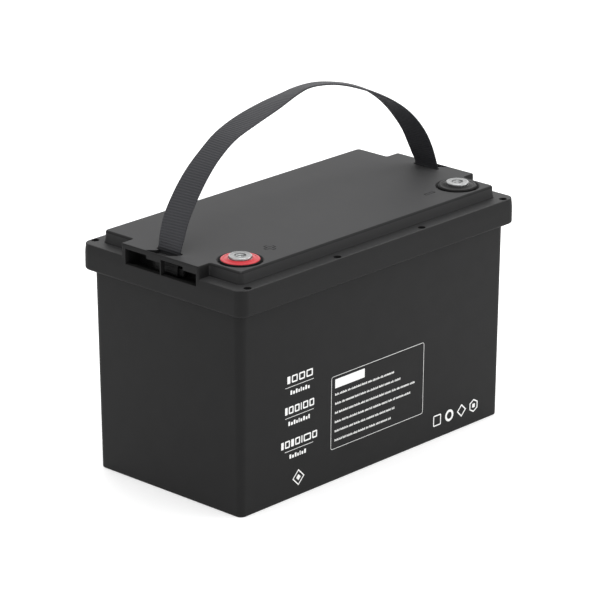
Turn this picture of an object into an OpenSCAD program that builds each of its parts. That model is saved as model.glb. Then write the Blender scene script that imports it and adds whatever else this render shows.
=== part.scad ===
// Rechargeable 12.8 V battery pack in a moulded case with a webbing carrying strap.
// +X runs along the length, -Y is the printed side, +Z is up.
// Origin: centre of the underside of the case.

/* [Case] */
// Case length at the underside
case_len = 312.6; // [312:0.2:314]
// Case width at the underside
case_wid = 161.2; // [161:0.2:162]
// Draft per side from the underside to the rim
case_draft = 3; // [2:0.5:3]
// Rim height above the underside
rim_z = 180; // [180:0.5:180.5]
// Wall thickness
wall = 2.5; // [2.25:0.25:2.75]
// Floor thickness
floor_t = 4; // [3:0.5:4]
// Corner radius of the case
case_r = 4.5; // [4:0.5:5]

/* [Lid] */
// Lid length over the band
lid_len = 330; // [330:0.5:331]
// Lid width over the band
lid_wid = 180; // [180:0.5:181]
// Corner radius of the band
lid_r = 9; // [8:0.5:10]
// Lower edge of the band
band_z = 171.7; // [171:0.5:173]
// Top of the band
band_top = 193.9; // [193.5:0.1:194.5]
// Top of the raised middle
deck_top = 204.2; // [204:0.1:205]
// Length of the raised middle
deck_len = 303; // [301:0.5:303]
// Width of the raised middle
deck_wid = 153; // [152:0.5:154]
// Corner radius of the raised middle
deck_r = 4; // [3:0.5:5]
// Half width of the tab that holds the strap
tab_half = 43; // [42:0.5:44]

/* [Terminals] */
// Terminal distance from the middle along the length
term_x = 129.7; // [129:0.1:130]
// Terminal distance from the middle along the width
term_y = 54.7; // [54:0.1:55]
// Diameter of the metal disc
disc_d = 19; // [18:0.5:20]
// Top of the metal disc
disc_top = 208.3; // [208:0.1:209]
// Diameter of the coloured collar
collar_d = 32.4; // [31:0.2:33]
// Diameter of the round recess in the lid
recess_d = 36.6; // [36:0.2:37]
// Tapped hole radius, M8 core
bore_r = 3.4; // [3.3:0.05:3.6]

/* [Strap] */
// Webbing width
strap_w = 25; // [24:0.5:26]
// Webbing thickness
strap_t = 2; // [1.6:0.2:2]
// Distance of each slot from the middle
strap_x = 153; // [152.8:0.1:153.2]
// Crown height of the webbing
crown_z = 305.8; // [303:0.2:308]
// Height at which the webbing starts to swing
swing_z = 219; // [218.5:0.5:220]

/* [Cells] */
// Cell width across the case
cell_w = 148; // [146:0.5:148]
// Cell thickness along the case
cell_t = 49; // [48:0.25:49]
// Cell height
cell_h = 158; // [156:0.5:158]
// Spacing of the two posts of a cell
post_gap = 100; // [96:1:104]

/* [Hidden] */
black = [0.17, 0.17, 0.17];
metal = [0.78, 0.78, 0.76];
copper = [0.75, 0.45, 0.3];
foam = [0.13, 0.13, 0.14];
eps = 0.02;
// the corner cones stand this much proud of the flats, so that they cross them cleanly
blend = 0.03;
rib_z = 181;
plate_t = 3;
skirt_t = 4.5;
screw_y = 85;
screw_xs = [-153, -50.5, 50.5, 153];
seat_z = 189.7;
pad_z = 7.2;
cell_z1 = pad_z + cell_h;
cell_gap = 1;
cell_pitch = cell_t + cell_gap;
pack_x0 = -149;
pack_x1 = pack_x0 + 4 * cell_t + 3 * cell_gap;
plate_e = 3;
bar_z0 = cell_z1 + 3;
bar_t = 2;
nut_z0 = bar_z0 + bar_t;
nut_h = 5;
post_y = post_gap / 2;
lug_z0 = 190;
lug_t = 2.2;
pcb_x = 60;
pcb_t = 1.6;
pocket_x = 147;
pocket_z0 = 184;
pocket_z1 = 199.7;
sill_z = 187.6;
relief_t = 3;
recess_z = 201.7;
flex_z = 206;
flex_lean = 4;
mark_x = [-92.8, 98.5];
mark_y = -51.4;
mark_half = 5.5;
mark_arm = 1.6;
print_t = 0.2;
frame_x = 2;
frame_half = 56.3;
frame_z0 = 28.3;
frame_z1 = 92;
rule_t = 0.6;
rating_x = -92;
rating_zs = [97.3, 71.2, 42.5];
symbol_xs = [77, 92.5, 108.1, 123.7];
symbol_z = 17;
bms_y = -45;
bminus_z = 130;
pminus_z = 80;
plug_y0 = 12;
plug_y1 = 33;
$fn = 48;

function cell_x(i) = pack_x0 + cell_t / 2 + i * cell_pitch;
// side of the positive post of cell i: it alternates so that links stay short
function plus_side(i) = (i % 2 == 0) ? -1 : 1;

// --- shared shapes ---
module rounded(l, w, r) {
  square([l - 2 * r, w], center = true);
  square([l, w - 2 * r], center = true);
  for (sx = [-1, 1], sy = [-1, 1])
    translate([sx * (l / 2 - r), sy * (w / 2 - r)])
      circle(r = r);
}

module box(x0, x1, y0, y1, z0, z1) {
  translate([x0, y0, z0])
    cube([x1 - x0, y1 - y0, z1 - z0]);
}

module frame_ring(l, w, r, t, z0, z1) {
  translate([0, 0, z0])
    linear_extrude(height = z1 - z0)
      difference() {
        rounded(l, w, r);
        rounded(l - 2 * t, w - 2 * t, max(r - t, 1));
      }
}

module at_screws() {
  for (x = screw_xs, sy = [-1, 1])
    translate([x, sy * screw_y, 0])
      children();
}

module hex_nut(af, h, hole_r) {
  difference() {
    cylinder(h = h, r = af / sqrt(3), $fn = 6);
    translate([0, 0, -1])
      cylinder(h = h + 2, r = hole_r);
  }
}

function unit(v) = v / norm(v);
function tangent(p, i) = unit(p[min(i + 1, len(p) - 1)] - p[max(i - 1, 0)]);
// smooth run through the given points
function knot(p, i) = p[max(0, min(i, len(p) - 1))];
function spline(p, i, t) = 0.5 * (2 * knot(p, i) + (knot(p, i + 1) - knot(p, i - 1)) * t
  + (2 * knot(p, i - 1) - 5 * knot(p, i) + 4 * knot(p, i + 1) - knot(p, i + 2)) * t * t
  + (3 * knot(p, i) - knot(p, i - 1) - 3 * knot(p, i + 1) + knot(p, i + 2)) * t * t * t);
function smooth(p, n) = concat([for (i = [0:len(p) - 2], k = [0:n - 1]) spline(p, i, k / n)], [p[len(p) - 1]]);

// round cable along a path that never runs along Y
module cable(path, r, steps = 4, sides = 10) {
  p = smooth(path, steps);
  n = len(p);
  pts = [for (i = [0:n - 1]) let (t = tangent(p, i), a = unit(cross(t, [0, 1, 0])), b = cross(t, a))
    for (k = [0:sides - 1]) p[i] + r * (cos(360 * k / sides) * a + sin(360 * k / sides) * b)];
  skin = [for (i = [0:n - 2], k = [0:sides - 1])
    [i * sides + k, (i + 1) * sides + k, (i + 1) * sides + (k + 1) % sides, i * sides + (k + 1) % sides]];
  polyhedron(pts, concat([[for (k = [0:sides - 1]) k]], skin,
    [[for (k = [sides - 1:-1:0]) (n - 1) * sides + k]]), convexity = 8);
}

// --- outer shell ---
// rounded box whose walls lean out by the draft: flats and corner cones grow together
module drafted(l, w, r, z0, z1) {
  a = case_draft * z0 / rim_z;
  b = case_draft * z1 / rim_z;
  rotate([90, 0, 0])
    translate([0, 0, -w / 2 + r])
      linear_extrude(height = w - 2 * r)
        polygon([[-l / 2 - a, z0], [l / 2 + a, z0], [l / 2 + b, z1], [-l / 2 - b, z1]]);
  rotate([90, 0, 90])
    translate([0, 0, -l / 2 + r])
      linear_extrude(height = l - 2 * r)
        polygon([[-w / 2 - a, z0], [w / 2 + a, z0], [w / 2 + b, z1], [-w / 2 - b, z1]]);
  for (sx = [-1, 1], sy = [-1, 1])
    translate([sx * (l / 2 - r), sy * (w / 2 - r), z0])
      cylinder(h = z1 - z0, r1 = r + a + blend, r2 = r + b + blend);
}

module case_shell() {
  color(black)
    difference() {
      union() {
        drafted(case_len, case_wid, case_r, 0, rim_z);
        at_screws()
          translate([0, 0, 172.6])
            cylinder(h = rim_z - 172.6, r = 3.5);
      }
      drafted(case_len - 2 * wall, case_wid - 2 * wall, case_r - wall, floor_t, rim_z + 1);
      at_screws()
        translate([0, 0, 173.2])
          cylinder(h = 10, r = 1.5);
    }
}

module lid_gasket() {
  top_l = case_len + 2 * case_draft;
  top_w = case_wid + 2 * case_draft;
  color([0.1, 0.1, 0.1])
    frame_ring(top_l - 2, top_w - 2, case_r + case_draft - 1, 0.8, rim_z, rib_z);
}

module pocket_end() {
  // solid end block of the +X side: floor, back wall and the tab over the slot
  box(144, lid_len / 2 - 9, -tab_half, tab_half, rib_z, pocket_z0);
  box(144, lid_len / 2, -tab_half, tab_half, pocket_z0 - 2, pocket_z0);
  box(144, pocket_x, -tab_half, tab_half, rib_z, deck_top - 1);
  box(150, lid_len / 2, -tab_half, tab_half, pocket_z1, deck_top);
  for (s = [-1, 1])
    box(144, lid_len / 2, s * (tab_half - 2) - 2, s * (tab_half - 2) + 2, rib_z, deck_top);
  box(160.5, lid_len / 2 - 0.5, -1, 1, rib_z, deck_top - 1);
}

module lid() {
  top_l = case_len + 2 * case_draft;
  top_w = case_wid + 2 * case_draft;
  color(black)
    difference() {
      union() {
        frame_ring(lid_len, lid_wid, lid_r, skirt_t, band_z, band_top);
        translate([0, 0, band_top - plate_t])
          linear_extrude(height = plate_t)
            rounded(lid_len, lid_wid, lid_r);
        frame_ring(top_l, top_w, case_r + case_draft, wall, rib_z, band_top - 1);
        translate([0, 0, band_top - plate_t])
          linear_extrude(height = deck_top - band_top + plate_t)
            rounded(deck_len, deck_wid, deck_r);
        at_screws()
          translate([0, 0, rib_z])
            cylinder(h = band_top - rib_z - 1, r = 4.6);
        pocket_end();
        rotate([0, 0, 180])
          pocket_end();
        for (s = [-1, 1])
          translate([s * term_x, -term_y, 197.2])
            cylinder(h = 6, r = 20);
      }
      // room under the raised middle, with solid ends and terminal bosses left in
      difference() {
        translate([0, 0, band_z])
          linear_extrude(height = deck_top - plate_t - band_z)
            rounded(deck_len - 6, deck_wid - 6, deck_r - 1);
        for (s = [-1, 1]) {
          translate([s * term_x, -term_y, 197.2])
            cylinder(h = 10, r = 20);
          translate([s * 158, 0, 0])
            box(-14, 14, -tab_half, tab_half, rib_z, deck_top);
        }
      }
      for (s = [0, 180])
        rotate([0, 0, s]) {
          difference() {
            box(pocket_x, lid_len / 2 + 1, -tab_half + 4, tab_half - 4, pocket_z0, pocket_z1);
            box(160.5, lid_len / 2 - 0.5, -1, 1, rib_z, deck_top);
            box(159, lid_len / 2 + 2, -15, 0, pocket_z1 - 2.8, deck_top);
            box(159, lid_len / 2 + 2, 26, tab_half, pocket_z1 - 2.8, deck_top);
            box(160.5, lid_len / 2 + 2, -tab_half, tab_half, rib_z, sill_z);
          }
          box(strap_x - 1.8, strap_x + 1.8, -strap_w / 2 - 1, strap_w / 2 + 1, pocket_z1 - 1, deck_top + 1);
          // relief between the strap and the outer lip
          translate([0, 0, deck_top - relief_t])
            linear_extrude(height = relief_t + 1)
              polygon([[151.6, -9.5], [151.6, 12.5], [157, 12.5], [164.1, 6], [164.1, -16.5], [158.2, -9.5]]);
        }
      for (s = [-1, 1])
        translate([s * term_x, -term_y, 0]) {
          translate([0, 0, recess_z])
            cylinder(h = 5, r = recess_d / 2, $fn = 96);
          translate([0, 0, 190])
            cylinder(h = 20, r = 6.2);
        }
      at_screws() {
        translate([0, 0, seat_z])
          cylinder(h = 10, r = 3.2);
        translate([0, 0, rib_z - 1])
          cylinder(h = 12, r = 1.9);
        translate([0, 0, band_z - 1])
          cylinder(h = rib_z - band_z + 1, r = 3.9);
      }
      // sunk polarity marks: a cross and a bar
      for (k = [0, 1])
        translate([mark_x[k], mark_y, deck_top - 0.5]) {
          box(-mark_half, mark_half, -mark_arm, mark_arm, 0, 2);
          if (k == 0)
            box(-mark_arm, mark_arm, -mark_half, mark_half, 0, 2);
        }
    }
}

module lid_screws() {
  color([0.12, 0.12, 0.12])
    at_screws() {
      difference() {
        translate([0, 0, seat_z])
          cylinder(h = 2, r = 2.9);
        translate([0, 0, seat_z + 0.8])
          for (a = [0, 90])
            rotate([0, 0, a])
              cube([3.4, 0.8, 4], center = true);
      }
      translate([0, 0, seat_z - 16])
        cylinder(h = 16 + eps, r = 1.45);
    }
}

// --- printed block on the long side ---
module print_patch(x0, x1, z0, z1) {
  box(x0, x1, -print_t, 0, z0, z1);
}

// white ink: a rounded frame, a title bar, six note lines, three rating rows and a row of symbols
module side_print() {
  lean = atan(case_draft / rim_z);
  text_x = frame_x - frame_half + 4.5;
  color([0.92, 0.92, 0.92])
    translate([0, -case_wid / 2, 0])
      rotate([lean, 0, 0]) {
        for (z = [frame_z0, frame_z1 - rule_t])
          print_patch(frame_x - frame_half, frame_x + frame_half, z, z + rule_t);
        for (x = [frame_x - frame_half, frame_x + frame_half - rule_t])
          print_patch(x, x + rule_t, frame_z0 + rule_t, frame_z1 - rule_t);
        print_patch(text_x, text_x + 35, frame_z1 - 10.8, frame_z1 - 3);
        for (k = [0:5])
          print_patch(text_x, text_x + 71.5 + 12 * (k % 3), frame_z1 - 18.2 - 8 * k, frame_z1 - 15.6 - 8 * k);
        for (z = rating_zs) {
          print_patch(rating_x - 14, rating_x + 14, z + 3, z + 9.5);
          print_patch(rating_x - 16.5, rating_x + 16.5, z, z + 0.5);
          print_patch(rating_x - 11, rating_x + 11, z - 6.8, z - 2.6);
        }
        for (x = symbol_xs)
          print_patch(x - 4.5, x + 4.5, symbol_z - 4.5, symbol_z + 4.5);
        print_patch(rating_x - 4.5, rating_x + 4.5, symbol_z - 4.5, symbol_z + 4.5);
      }
}

// --- terminals ---
module insert_at(x) {
  color(metal)
    translate([x, -term_y, 0])
      difference() {
        union() {
          translate([0, 0, recess_z])
            cylinder(h = disc_top - recess_z, r = disc_d / 2, $fn = 96);
          translate([0, 0, 186])
            cylinder(h = recess_z - 186 + eps, r = 6);
        }
        translate([0, 0, disc_top - 16])
          cylinder(h = 20, r = bore_r);
        translate([0, 0, disc_top - 1.2])
          cylinder(h = 1.3, r1 = bore_r, r2 = bore_r + 1.3);
      }
}

module collar_at(x, c) {
  color(c)
    translate([x, -term_y, recess_z])
      difference() {
        cylinder(h = 205.4 - recess_z, r = collar_d / 2, $fn = 96);
        translate([0, 0, -1])
          cylinder(h = 8, r = disc_d / 2 + 0.1, $fn = 96);
      }
}

module positive_insert() {
  insert_at(-term_x);
}

module negative_insert() {
  insert_at(term_x);
}

module positive_collar() {
  collar_at(-term_x, [0.85, 0.22, 0.25]);
}

module negative_collar() {
  collar_at(term_x, [0.12, 0.12, 0.12]);
}

module terminal_nuts() {
  color(metal)
    for (s = [-1, 1])
      translate([s * term_x, -term_y, 0]) {
        translate([0, 0, lug_z0 + lug_t])
          hex_nut(19, 197.2 - lug_z0 - lug_t, 6.05);
        translate([0, 0, lug_z0 - 3.6])
          hex_nut(19, 3.6, 6.05);
      }
}

// --- webbing strap ---
module strap_bars() {
  color([0.2, 0.2, 0.2])
    for (s = [-1, 1])
      translate([s * strap_x, 0, 190.4])
        cube([4.6, 35, 6], center = true);
}

module strap_loops() {
  color([0.23, 0.24, 0.25])
    for (s = [-1, 1])
      translate([s * strap_x, 0, 0]) {
        difference() {
          box(-4.4, 4.4, -strap_w / 2, strap_w / 2, 185.3, 195.5);
          box(-2.4, 2.4, -strap_w, strap_w, 187.3, 193.5);
        }
        box(-strap_t / 2, strap_t / 2, -strap_w / 2, strap_w / 2, 195.5 - eps, 206);
      }
}

module strap_flex() {
  color([0.23, 0.24, 0.25])
    for (s = [-1, 1])
      translate([s * strap_x, 0, 0])
        rotate([90, 0, 0])
          linear_extrude(height = strap_w, center = true)
            polygon([for (q = [[0, flex_z], [-s * flex_lean, swing_z]], e = q[1] == flex_z ? [-1, 1] : [1, -1])
              q + [e * strap_t / 2, 0]]);
}

// centre line of the arch between its ends, as [x, height below the crown]
arch_line = [[-143, 70.3], [-132.5, 56.3], [-121, 43.8], [-108.5, 32.5], [-90, 20.8], [-69, 13.4], [-48, 8],
  [-28, 4.3], [-5, 0.8], [12, 0], [40, 3.8], [62, 11.5], [77, 18.8], [92, 26.3], [105, 33.8], [120, 46.3],
  [133, 60.8], [143, 75.8]];

module strap_arch() {
  end_x = strap_x - flex_lean;
  route = concat([[-end_x, 0, swing_z]], [for (q = arch_line) [q[0], 0, crown_z - q[1]]], [[end_x, 0, swing_z]]);
  run = smooth(route, 3);
  last = len(run) - 1;
  side = [for (i = [0:last]) let (t = (i == 0) ? [0, 0, 1] : (i == last) ? [0, 0, -1] : tangent(run, i))
    cross(t, [0, 1, 0]) * strap_t / 2];
  pts = [for (i = [0:last]) for (e = [[1, -1], [1, 1], [-1, 1], [-1, -1]])
    run[i] + e[0] * side[i] + [0, e[1] * strap_w / 2, 0]];
  skin = [for (i = [0:last - 1], k = [0:3])
    [4 * i + k, 4 * (i + 1) + k, 4 * (i + 1) + (k + 1) % 4, 4 * i + (k + 1) % 4]];
  color([0.23, 0.24, 0.25])
    polyhedron(pts, concat([[0, 1, 2, 3]], skin, [[4 * last + 3, 4 * last + 2, 4 * last + 1, 4 * last]]),
      convexity = 4);
}

// --- cushioning ---
module base_pad() {
  color(foam)
    box(-152, 152, -77, 77, floor_t, pad_z);
}

module side_pads() {
  color(foam)
    for (s = [-1, 1])
      translate([0, s * 76.6, 0])
        box(pack_x0, pack_x1, -1.5, 1.5, pad_z, 158);
}

module end_pad() {
  color(foam)
    box(-153.8, -152.9, -60, 60, pad_z, 158);
}

module filler_block() {
  color(foam)
    box(98, 152, -74, 74, pad_z, 165);
}

module hold_down_pads() {
  color(foam)
    for (x = [-62, 14])
      translate([x, 0, 0])
        box(-14, 14, -58, 58, 179, deck_top - plate_t);
}

// --- cells and links ---
module cell_at(i) {
  color([0.16, 0.3, 0.55])
    translate([cell_x(i), 0, pad_z])
      linear_extrude(height = cell_h)
        rounded(cell_t, cell_w, 2);
}

module cell_1() {
  cell_at(0);
}

module cell_2() {
  cell_at(1);
}

module cell_3() {
  cell_at(2);
}

module cell_4() {
  cell_at(3);
}

module cell_posts() {
  color(metal)
    for (i = [0:3], s = [-1, 1])
      translate([cell_x(i), s * post_y, cell_z1]) {
        cylinder(h = bar_z0 - cell_z1, r = 9);
        cylinder(h = nut_z0 + nut_h + 1.5 - cell_z1, r = 3);
      }
}

module cell_spacers() {
  color([0.6, 0.65, 0.35])
    for (i = [0:2])
      translate([cell_x(i) + cell_t / 2, 0, 0])
        box(0, cell_gap, -cell_w / 2 + 2, cell_w / 2 - 2, pad_z, cell_z1 - 2);
}

module end_plates() {
  color([0.6, 0.65, 0.35])
    for (x = [pack_x0 - plate_e, pack_x1])
      box(x, x + plate_e, -cell_w / 2, cell_w / 2, pad_z, cell_z1);
}

module pack_bands() {
  color(metal)
    for (z = [45, 122])
      translate([(pack_x0 + pack_x1) / 2, 0, 0])
        frame_ring(pack_x1 - pack_x0 + 2 * plate_e + 1.6, cell_w + 1.6, 1.5, 0.8, z - 6, z + 6);
}

module link_plate(x0, x1, y) {
  difference() {
    box(x0 - 11, x1 + 11, y - 11, y + 11, bar_z0, nut_z0);
    for (x = [x0, x1])
      translate([x, y, bar_z0 - 1])
        cylinder(h = 5, r = 3.1);
  }
}

module busbars() {
  color(copper)
    for (i = [0:2])
      link_plate(cell_x(i), cell_x(i + 1), -plus_side(i) * post_y);
}

module positive_link() {
  x0 = cell_x(0);
  color(copper)
    difference() {
      union() {
        box(x0 - 11, x0 + 24, -post_y - 11, -post_y + 11, bar_z0, nut_z0);
        box(x0 + 22, x0 + 24, -post_y - 11, -post_y + 11, bar_z0, lug_z0 + lug_t);
        box(-term_x - 11, x0 + 24, -term_y - 8, -post_y + 11, lug_z0, lug_z0 + lug_t);
      }
      translate([x0, -post_y, bar_z0 - 1])
        cylinder(h = 5, r = 3.1);
      translate([-term_x, -term_y, lug_z0 - 1])
        cylinder(h = 5, r = 6.1);
    }
}

module busbar_nuts() {
  color(metal)
    for (i = [0:3], s = [-1, 1])
      translate([cell_x(i), s * post_y, nut_z0])
        hex_nut(10, nut_h, 3.05);
}

module cover_tray() {
  color([0.75, 0.75, 0.72])
    difference() {
      box(pack_x0 + 1, pack_x1 - 1, -72, 72, cell_z1, 179);
      box(pack_x0 + 2.5, pack_x1 - 2.5, -70.5, 70.5, cell_z1 - 1, 177.5);
      box(cell_x(0) + 20, cell_x(0) + 26, -post_y - 13, -post_y + 13, 170, 185);
      box(pack_x1 - 6, pack_x1, -post_y - 13, -post_y + 13, 167, 177);
      box(pack_x1 - 6, pack_x1, plug_y0 - 2, plug_y1 + 2, 170, 176);
    }
}

// --- battery management board ---
module bms_board() {
  color([0.1, 0.35, 0.2])
    difference() {
      box(pcb_x, pcb_x + pcb_t, -60, 60, 55, 145);
      for (y = [-54, 54], z = [61, 139])
        translate([pcb_x - 1, y, z])
          rotate([0, 90, 0])
            cylinder(h = 5, r = 2.2);
    }
}

module bms_heatsink() {
  color(metal)
    difference() {
      box(pcb_x + 5.8, pcb_x + 18, -20, 58, 60, 122);
      for (k = [0:7])
        box(pcb_x + 9, pcb_x + 20, -14.5 + 9 * k, -9.5 + 9 * k, 59, 123);
    }
}

module bms_components() {
  color([0.08, 0.08, 0.09]) {
    for (k = [0:5], z = [68, 104])
      box(pcb_x + pcb_t, pcb_x + 5.8, -16 + 12 * k, -6 + 12 * k, z, z + 13);
    box(pcb_x + pcb_t, pcb_x + 4, -6, 6, 126, 138);
    for (k = [0:3])
      box(pcb_x + pcb_t, pcb_x + 5, 38 + 4 * k, 40.5 + 4 * k, 127, 133);
  }
}

module bms_standoffs() {
  color(metal)
    for (y = [-54, 54], z = [61, 139])
      translate([pack_x1 + plate_e, y, z])
        rotate([0, 90, 0]) {
          cylinder(h = pcb_x - pack_x1 - plate_e, r = 3.5);
          cylinder(h = 12, r = 2);
        }
}

module bms_posts() {
  color(metal)
    for (z = [pminus_z, bminus_z])
      translate([pcb_x + pcb_t, bms_y, z])
        rotate([0, 90, 0]) {
          cylinder(h = 2.4, r = 7);
          cylinder(h = 12, r = 3);
        }
}

module bms_nuts() {
  color(metal)
    for (z = [pminus_z, bminus_z])
      translate([pcb_x + pcb_t + 4.4, bms_y, z])
        rotate([0, 90, 0])
          hex_nut(10, 5, 3.05);
}

// --- leads ---
lug_bx = pcb_x + pcb_t + 2.4;

module lead_lugs() {
  color(metal) {
    // on the last cell post, barrel towards +X
    difference() {
      union() {
        box(cell_x(3) - 9, cell_x(3) + 8, -post_y - 8, -post_y + 8, bar_z0, nut_z0);
        box(cell_x(3) + 7, cell_x(3) + 13, -post_y - 4, -post_y + 4, bar_z0, nut_z0);
      }
      translate([cell_x(3), -post_y, bar_z0 - 1])
        cylinder(h = 5, r = 3.1);
    }
    translate([cell_x(3) + 12, -post_y, bar_z0 + 3.6])
      rotate([0, 90, 0])
        difference() {
          cylinder(h = 10, r = 4.2);
          translate([0, 0, -1])
            cylinder(h = 12, r = 3.1);
        }
    // on both board posts, barrel up
    for (z = [pminus_z, bminus_z]) {
      difference() {
        box(lug_bx, lug_bx + 2, bms_y - 7, bms_y + 7, z - 7, z + 9);
        translate([lug_bx - 1, bms_y, z])
          rotate([0, 90, 0])
            cylinder(h = 5, r = 3.1);
      }
      translate([lug_bx + 3.6, bms_y, z + 8])
        difference() {
          cylinder(h = 9, r = 4.2);
          translate([0, 0, -1])
            cylinder(h = 12, r = 3.1);
        }
    }
    // on the negative terminal, barrel towards -X
    difference() {
      union() {
        box(term_x - 12, term_x + 10, -term_y - 9, -term_y + 9, lug_z0, lug_z0 + lug_t);
        box(term_x - 17, term_x - 11, -term_y - 4, -term_y + 4, lug_z0, lug_z0 + lug_t);
      }
      translate([term_x, -term_y, lug_z0 - 1])
        cylinder(h = 5, r = 6.1);
    }
    translate([term_x - 26, -term_y, lug_z0 - 1.4])
      rotate([0, 90, 0])
        difference() {
          cylinder(h = 10, r = 4.2);
          translate([0, 0, -1])
            cylinder(h = 12, r = 3.1);
        }
  }
}

module bms_lead() {
  x = lug_bx + 3.6;
  color([0.1, 0.1, 0.1])
    cable([[cell_x(3) + 22.5, -post_y, bar_z0 + 3.6], [cell_x(3) + 30, -post_y, bar_z0 + 3.8],
      [x - 2, -post_y + 1, bar_z0 - 2], [x, bms_y - 1, 157], [x, bms_y, bminus_z + 17.5]], 3);
}

module negative_lead() {
  x = lug_bx + 3.6;
  color([0.1, 0.1, 0.1])
    cable([[x, bms_y, pminus_z + 17.5], [x + 2, bms_y + 1, 106], [x + 9, bms_y + 4, 122], [x + 13, bms_y + 4, 145],
      [x + 16, bms_y + 2, 166], [x + 24, bms_y - 4, 181], [term_x - 32, -term_y, 188],
      [term_x - 26.5, -term_y, lug_z0 - 1.4]], 3);
}

module balance_plug() {
  color([0.85, 0.85, 0.8])
    box(pcb_x + pcb_t, pcb_x + 9, plug_y0, plug_y1, 128, 140);
}

module sense_wire(x0, y0, lane) {
  cable([[x0, y0, nut_z0 + 0.75], [x0 + 7, y0 + (lane - y0) * 0.3, 172.2], [x0 + 20, lane, 173],
    [(x0 + 68) / 2, lane, 173], [48, lane, 173], [58, lane, 172.3], [65.5, lane, 165], [66.5, lane, 154],
    [66.5, lane, 140]], 0.7, 2, 8);
}

module balance_harness() {
  color([0.7, 0.15, 0.12]) {
    sense_wire(cell_x(2) + 20, 40.5, 30);
    sense_wire(cell_x(0) + 30, 40.5, 27);
    sense_wire(cell_x(0) + 5, -40.5, 24);
    sense_wire(cell_x(1) + 20, -40.5, 21);
    sense_wire(cell_x(3) - 5, -43, 18);
  }
}

module thermistor() {
  color([0.1, 0.1, 0.1]) {
    box(cell_x(2) - 5, cell_x(2) + 5, -3, 3, cell_z1, cell_z1 + 3);
    cable([[cell_x(2) + 4, 0, cell_z1 + 1.5], [cell_x(2) + 12, 2, cell_z1 + 1.8], [5, 15, cell_z1 + 1.8],
      [25, 15, cell_z1 + 1.8], [38, 15, cell_z1 + 2.8], [48, 15, 172], [58, 15, 171.5], [65.5, 15, 164],
      [66.5, 15, 154], [66.5, 15, 140]], 0.7, 2, 8);
  }
}

// --- draw ---
case_shell();
lid();
lid_gasket();
lid_screws();
positive_insert();
negative_insert();
positive_collar();
negative_collar();
terminal_nuts();
strap_bars();
strap_loops();
strap_flex();
strap_arch();
base_pad();
side_pads();
end_pad();
filler_block();
hold_down_pads();
cell_1();
cell_2();
cell_3();
cell_4();
cell_posts();
cell_spacers();
end_plates();
pack_bands();
busbars();
positive_link();
busbar_nuts();
cover_tray();
bms_board();
bms_heatsink();
bms_components();
bms_standoffs();
bms_posts();
bms_nuts();
bms_lead();
negative_lead();
lead_lugs();
balance_plug();
balance_harness();
thermistor();
side_print();
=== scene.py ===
import math

import bmesh
import bpy
from mathutils import Matrix, Vector


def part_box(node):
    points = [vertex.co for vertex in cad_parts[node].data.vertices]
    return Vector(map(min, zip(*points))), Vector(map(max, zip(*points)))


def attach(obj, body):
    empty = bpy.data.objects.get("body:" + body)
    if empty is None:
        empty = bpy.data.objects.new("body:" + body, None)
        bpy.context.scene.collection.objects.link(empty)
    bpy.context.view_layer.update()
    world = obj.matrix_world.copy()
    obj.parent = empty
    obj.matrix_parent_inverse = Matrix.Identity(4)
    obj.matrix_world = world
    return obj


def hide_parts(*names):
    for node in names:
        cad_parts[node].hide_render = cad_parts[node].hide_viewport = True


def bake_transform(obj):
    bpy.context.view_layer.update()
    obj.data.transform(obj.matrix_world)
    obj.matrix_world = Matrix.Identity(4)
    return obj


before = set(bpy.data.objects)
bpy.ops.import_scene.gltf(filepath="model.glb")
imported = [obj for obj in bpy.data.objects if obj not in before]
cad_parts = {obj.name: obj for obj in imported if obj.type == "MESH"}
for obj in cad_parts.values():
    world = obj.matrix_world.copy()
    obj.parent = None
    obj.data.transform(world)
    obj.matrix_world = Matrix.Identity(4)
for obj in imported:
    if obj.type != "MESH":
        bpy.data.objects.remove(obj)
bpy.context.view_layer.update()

MM = 0.001
scene = bpy.context.scene

# webbing, in millimetres
RIB_PITCH = 2.3
RIB_DEPTH = 0.22
YARN_PITCH = 0.9
WEB_T = 1.7
# heights in metres between which the webbing goes dark as it enters the lid
WEB_DARK_Z, WEB_LIT_Z = 0.200, 0.2075
# tool marks on the terminal discs, in metres from one to the next
TOOL_MARK_PITCH = 0.00042


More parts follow.
